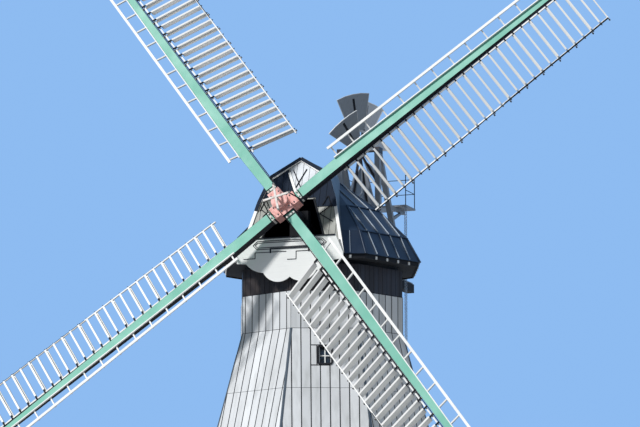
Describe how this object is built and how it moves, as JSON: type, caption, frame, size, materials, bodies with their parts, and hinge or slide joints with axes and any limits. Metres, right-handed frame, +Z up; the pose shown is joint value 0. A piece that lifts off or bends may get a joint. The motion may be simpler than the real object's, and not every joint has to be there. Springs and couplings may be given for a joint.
{
  "type": "windmill",
  "caption": "Smock windmill with an eight-sided timber tower, domed cap, lattice sails with shutters and a fantail that turns the cap.",
  "frame": {"origin": "on the ground, on the upright axis of the tower", "axes": "+Z up, -Y to the front, where the sails are, and +X to the right seen from the front"},
  "size_m": [19.6604, 11.5077, 22.601],
  "materials": {
    "brick": "brickwork laid in a running bond",
    "white_boards": "white painted upright boards",
    "dark_boards": "dark brown painted boards",
    "green_wood": "pale green painted timber",
    "white_wood": "white painted timber",
    "grey_wood": "light grey painted timber",
    "plain_wood": "bare timber",
    "shutter": "grey white painted slats",
    "roof_sheet": "dark blue grey sheet with standing seams",
    "grey_sheet": "grey sheet with standing seams",
    "red_iron": "light red painted iron",
    "grey_iron": "dark grey painted iron",
    "pane": "old window glass",
    "chain": "steel chain"
  },
  "bodies": {
    "tower": {"base_sill": "dark_boards", "base_walls_front_and_back": "brick", "base_walls_right_and_left": "brick", "collar_walls": "white_boards", "corner_boards": "white_boards", "curb_band": "dark_boards", "curb_ring": "plain_wood", "door": "green_wood", "door_frame": "white_wood", "glazing_bars": "white_wood", "ground_floor": "plain_wood", "lower_floor": "plain_wood", "smock_walls_plain": "white_boards", "smock_walls_with_windows": "white_boards", "upper_floor": "plain_wood", "window_frames": "dark_boards", "window_panes": "pane"},
    "cap": {"barge_boards": "white_wood", "board_mouldings": "grey_wood", "cap_ring": "plain_wood", "control_chains": "chain", "eaves_fascia": "grey_wood", "eaves_soffit": "grey_wood", "fan_bearings": "grey_iron", "fan_posts": "grey_wood", "fan_stage": "grey_wood", "fan_ties": "grey_wood", "front_beam": "grey_wood", "front_board": "white_wood", "gable_roof": "grey_sheet", "gable_wall": "plain_wood", "platform_brackets": "grey_wood", "platform_rail": "grey_wood", "roof_middle": "roof_sheet", "roof_skirt": "roof_sheet", "roof_top": "roof_sheet", "shaft_beams": "plain_wood", "shaft_bearings": "grey_iron", "sheer_beams": "grey_wood", "upper_platform": "grey_wood"},
    "sails": {"front_stock": "green_wood", "poll_end": "red_iron", "rear_stock": "green_wood", "sail_frame_1": "white_wood", "sail_frame_2": "white_wood", "sail_frame_3": "white_wood", "sail_frame_4": "white_wood", "sail_shutters_1": "shutter", "sail_shutters_2": "shutter", "sail_shutters_3": "shutter", "sail_shutters_4": "shutter", "striking_cross": "red_iron", "striking_gear": "grey_iron", "windshaft": "grey_iron"},
    "fan": {"fan_blades": "grey_wood", "fan_hub": "grey_iron"}
  },
  "joints": [
    {"name": "cap_turn", "type": "hinge", "parent": "tower", "child": "cap", "pos_m": [0, 0, 0], "axis": [0, 0, 1], "continuous": true},
    {"name": "sail_turn", "type": "hinge", "parent": "cap", "child": "sails", "pos_m": [0, -3.2, 13], "axis": [0, -0.9801, 0.1985], "continuous": true},
    {"name": "fan_turn", "type": "hinge", "parent": "cap", "child": "fan", "pos_m": [0, 3.59, 15.85], "axis": [1, 0, 0], "continuous": true}
  ]
}
